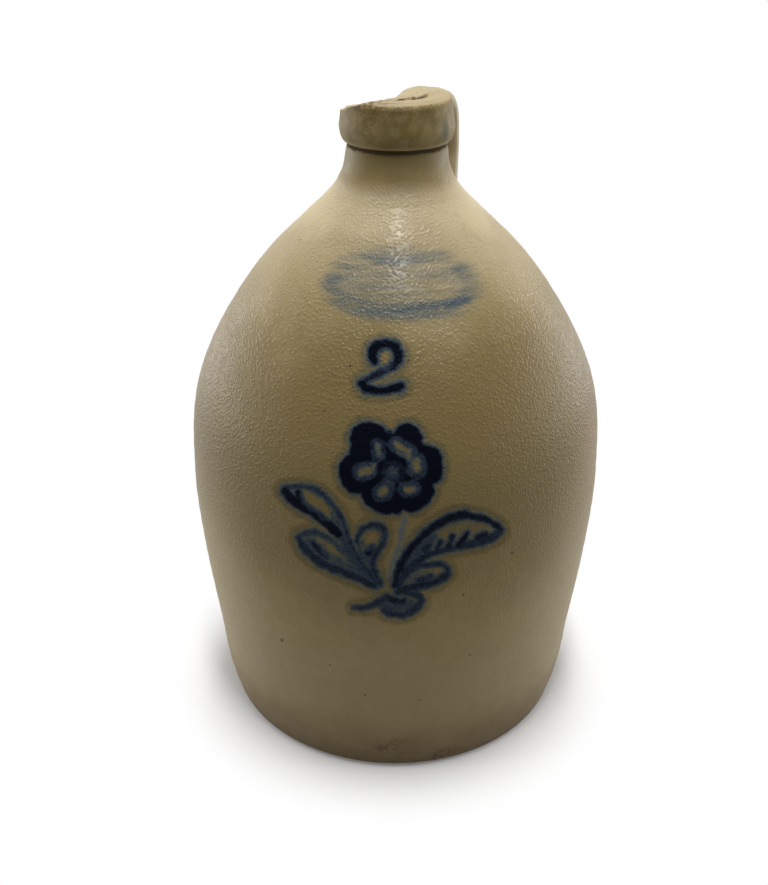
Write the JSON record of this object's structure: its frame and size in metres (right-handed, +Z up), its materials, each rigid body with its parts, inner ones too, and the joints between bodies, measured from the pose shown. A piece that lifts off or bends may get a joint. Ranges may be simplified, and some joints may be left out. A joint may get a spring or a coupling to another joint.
{
  "type": "stoneware jug",
  "caption": "Wheel-thrown salt-glazed stoneware jug with a collared mouth for a cork, a pulled strap handle and cobalt slip decoration.",
  "frame": {"origin": "on the jug's axis, in the plane of the foot", "axes": "+Z up along the axis of the jug, -Y towards the decorated front, +X to the right of the decoration; the handle is at the back, turned 21 degrees from +Y towards +X"},
  "size_m": [0.2304, 0.2309, 0.348],
  "materials": {
    "salt_glazed_clay": "salt glaze over tan stoneware, fine orange peel, satin",
    "collar_clay": "salt glaze over tan stoneware, thicker and darker, with bare clay in the chip",
    "handle_clay": "salt glaze over pulled clay, satin",
    "brown_slip": "dark brown glossy slip",
    "cobalt_slip": "trailed cobalt slip under salt glaze, feathered edges",
    "cobalt_wash": "thin brushed cobalt wash under salt glaze"
  },
  "bodies": {
    "root": {"body": "salt_glazed_clay", "lip_collar": "collar_clay", "strap_handle": "handle_clay", "upper_luting": "handle_clay", "lower_luting": "handle_clay", "slip_lining": "brown_slip", "numeral_two": "cobalt_slip", "flower_petals": "cobalt_slip", "flower_eye": "cobalt_slip", "flower_stem": "cobalt_wash", "leaf_upper_left": "cobalt_slip", "leaf_lower_left": "cobalt_slip", "bud": "cobalt_slip", "leaf_upper_right": "cobalt_slip", "leaf_lower_right": "cobalt_slip", "root_flourish": "cobalt_slip", "shoulder_wash": "cobalt_wash"}
  },
  "joints": []
}
